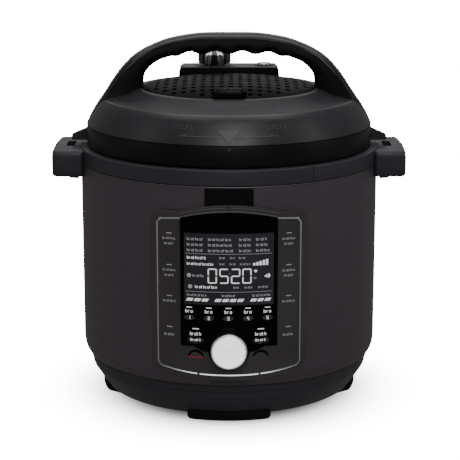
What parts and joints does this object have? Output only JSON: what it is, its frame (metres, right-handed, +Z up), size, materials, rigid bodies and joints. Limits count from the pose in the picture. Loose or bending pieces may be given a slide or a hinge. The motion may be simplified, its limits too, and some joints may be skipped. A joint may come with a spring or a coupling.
{
  "type": "electric pressure cooker",
  "caption": "Electric pressure cooker: round steel body, bayonet lid with arched handle and steam valves, lift-out pot, front panel with display and dial.",
  "frame": {"origin": "on the worktop, on the pot's axis", "axes": "+Z up along the pot's axis, -Y towards the control panel, +X to the right as seen from the front"},
  "size_m": [0.325, 0.304, 0.3372],
  "materials": {
    "dark_steel": "satin",
    "bright_steel": "satin",
    "aluminium": "satin",
    "matt_black": "matt",
    "soft_black": "matt",
    "gloss_black": "gloss",
    "silver_trim": "satin",
    "silicone": "matt",
    "clear_grey": "gloss",
    "board_green": "satin",
    "display_grey": "satin"
  },
  "bodies": {
    "cooker": {"outer_shell": "dark_steel", "base_housing": "matt_black", "foot_front": "soft_black", "foot_right": "soft_black", "foot_rear": "soft_black", "foot_left": "soft_black", "top_ring": "matt_black", "side_handle_left": "matt_black", "side_handle_right": "matt_black", "inner_chamber": "bright_steel", "bayonet_ring": "bright_steel", "base_screw_1": "bright_steel", "base_screw_2": "bright_steel", "base_screw_3": "bright_steel", "heating_plate": "aluminium", "sensor_spring": "bright_steel", "pressure_switch": "soft_black", "power_board": "board_green", "mains_inlet": "soft_black", "panel_bezel": "matt_black", "overlay_lens": "gloss_black", "frame_trim": "silver_trim", "arch_trim": "matt_black", "display_module": "display_grey", "control_board": "board_green", "encoder_body": "soft_black", "collector_mount": "matt_black"},
    "sensor": {"temperature_sensor": "aluminium"},
    "dial_push": {"encoder_plunger": "silicone"},
    "dial": {"dial_shaft": "bright_steel", "dial_knob": "aluminium"},
    "collector": {"condensation_collector": "clear_grey"},
    "pot": {"inner_pot": "bright_steel"},
    "seal": {"sealing_ring": "silicone"},
    "lid": {"lid_plate": "bright_steel", "seal_rack": "bright_steel", "lid_cover": "matt_black", "lid_handle": "matt_black", "handle_screw_left": "bright_steel", "handle_screw_right": "bright_steel", "lid_screw": "bright_steel", "diffuser_cover": "matt_black", "valve_block": "matt_black", "valve_sleeve": "clear_grey", "steam_pipe": "bright_steel", "anti_block_shield": "bright_steel"},
    "steam_valve": {"valve_weight": "bright_steel"},
    "float_valve": {"float_pin": "bright_steel", "float_cap": "silicone"},
    "release": {"release_switch": "gloss_black"}
  },
  "joints": [
    {"name": "pot_lift", "type": "slide", "parent": "cooker", "child": "pot", "axis": [0, 0, 1], "range_m": [0, 0.24]},
    {"name": "lid_lift", "type": "slide", "parent": "pot", "child": "seal", "axis": [0, 0, 1], "range_m": [0, 0.12]},
    {"name": "lid_twist", "type": "hinge", "parent": "seal", "child": "lid", "pos_m": [0, 0, 0.25], "axis": [0, 0, 1], "range_deg": [0, 33]},
    {"name": "release_slide", "type": "slide", "parent": "lid", "child": "release", "axis": [0, 1, 0], "range_m": [0, 0.005]},
    {"name": "valve_lift", "type": "slide", "parent": "lid", "child": "steam_valve", "axis": [0, 0, 1], "range_m": [0, 0.0025]},
    {"name": "float_rise", "type": "slide", "parent": "lid", "child": "float_valve", "axis": [0, 0, 1], "range_m": [0, 0.005]},
    {"name": "dial_press", "type": "slide", "parent": "cooker", "child": "dial_push", "axis": [0, 1, 0], "range_m": [0, 0.0006], "stiffness_N_per_m": 1500, "springref_m": -0.001},
    {"name": "dial_turn", "type": "hinge", "parent": "dial_push", "child": "dial", "pos_m": [0, -0.14, 0.079], "axis": [0, 1, 0], "continuous": true},
    {"name": "sensor_press", "type": "slide", "parent": "cooker", "child": "sensor", "axis": [0, 0, -1], "range_m": [0, 0.002], "stiffness_N_per_m": 800, "springref_m": -0.002, "deforming": ["sensor_spring"]},
    {"name": "collector_pull", "type": "slide", "parent": "cooker", "child": "collector", "axis": [0, 1, 0], "range_m": [0, 0.03]}
  ],
  "couplings": [
    {"joint": "valve_lift", "follows": "release_slide", "ratio": 0.5}
  ]
}
